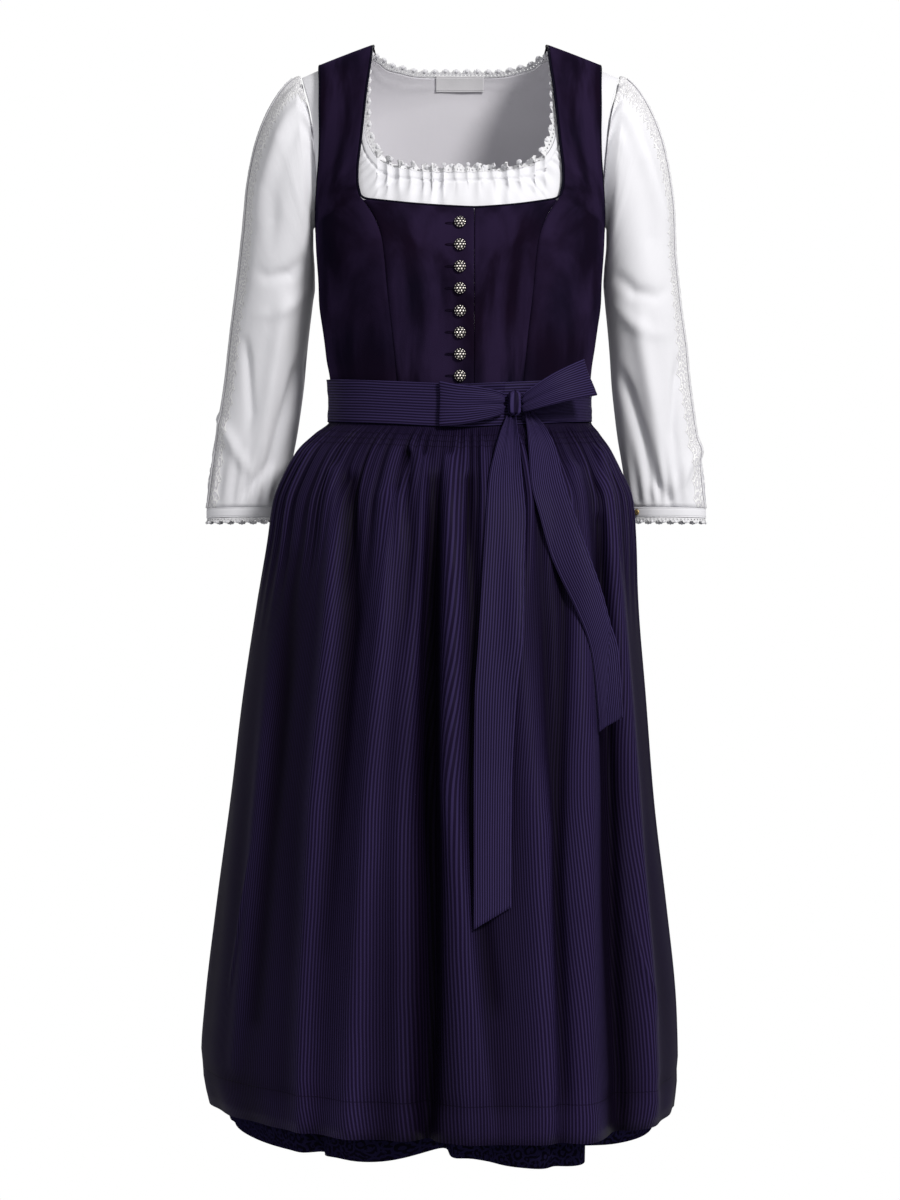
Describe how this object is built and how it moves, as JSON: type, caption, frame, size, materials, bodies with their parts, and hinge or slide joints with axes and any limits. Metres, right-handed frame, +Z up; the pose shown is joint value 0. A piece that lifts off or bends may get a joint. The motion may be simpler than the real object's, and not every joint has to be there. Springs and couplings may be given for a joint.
{
  "type": "dirndl dress with apron and blouse",
  "caption": "Velvet and brocade dirndl with a ribbed apron tied in a bow over a white lace-edged blouse, hollow and standing open as if worn.",
  "frame": {"origin": "between the shoulders, level with the top of the straps, where the wearer carries the dress", "axes": "+Z up the body, +X to the wearer's left, -Y out of the front"},
  "size_m": [0.5622, 0.5278, 1.1805],
  "materials": {
    "bodice_velvet": "velvet pile",
    "skirt_brocade": "woven brocade",
    "apron_rib": "fine ribbed weave with a slight sheen",
    "blouse_cotton": "plain fine weave",
    "blouse_lace": "cotton lace and embroidery",
    "button_silver": "darkened filigree",
    "button_gold": "satin"
  },
  "bodies": {
    "root": {"bodice_side_front_right": "bodice_velvet", "bodice_centre_front_right": "bodice_velvet", "bodice_side_back_right": "bodice_velvet", "bodice_side_front_left": "bodice_velvet", "bodice_centre_front_left": "bodice_velvet", "bodice_side_back_left": "bodice_velvet", "bodice_centre_back": "bodice_velvet", "bodice_neck_piping": "bodice_velvet", "bodice_armhole_piping_right": "bodice_velvet", "bodice_armhole_piping_left": "bodice_velvet", "bodice_button_1": "button_silver", "bodice_button_2": "button_silver", "bodice_button_3": "button_silver", "bodice_button_4": "button_silver", "bodice_button_5": "button_silver", "bodice_button_6": "button_silver", "bodice_button_7": "button_silver", "bodice_button_8": "button_silver", "blouse_front": "blouse_cotton", "blouse_back": "blouse_cotton", "blouse_neck_lace": "blouse_lace", "blouse_label": "blouse_cotton", "sleeve_right": "blouse_cotton", "sleeve_left": "blouse_cotton", "skirt_front": "skirt_brocade", "skirt_back_left": "skirt_brocade", "skirt_back_right": "skirt_brocade", "apron_panel": "apron_rib", "cuff_right": "blouse_cotton", "cuff_lace_right": "blouse_lace", "sleeve_lace_right": "blouse_lace", "cuff_button_right": "button_gold", "cuff_left": "blouse_cotton", "cuff_lace_left": "blouse_lace", "sleeve_lace_left": "blouse_lace", "cuff_button_left": "button_gold", "apron_waistband": "apron_rib", "apron_tie_right": "apron_rib", "apron_tie_left": "apron_rib", "bow_knot": "apron_rib", "bow_loop_right": "apron_rib", "bow_loop_left": "apron_rib", "bow_tail_right": "apron_rib", "bow_tail_left": "apron_rib"}
  },
  "joints": []
}
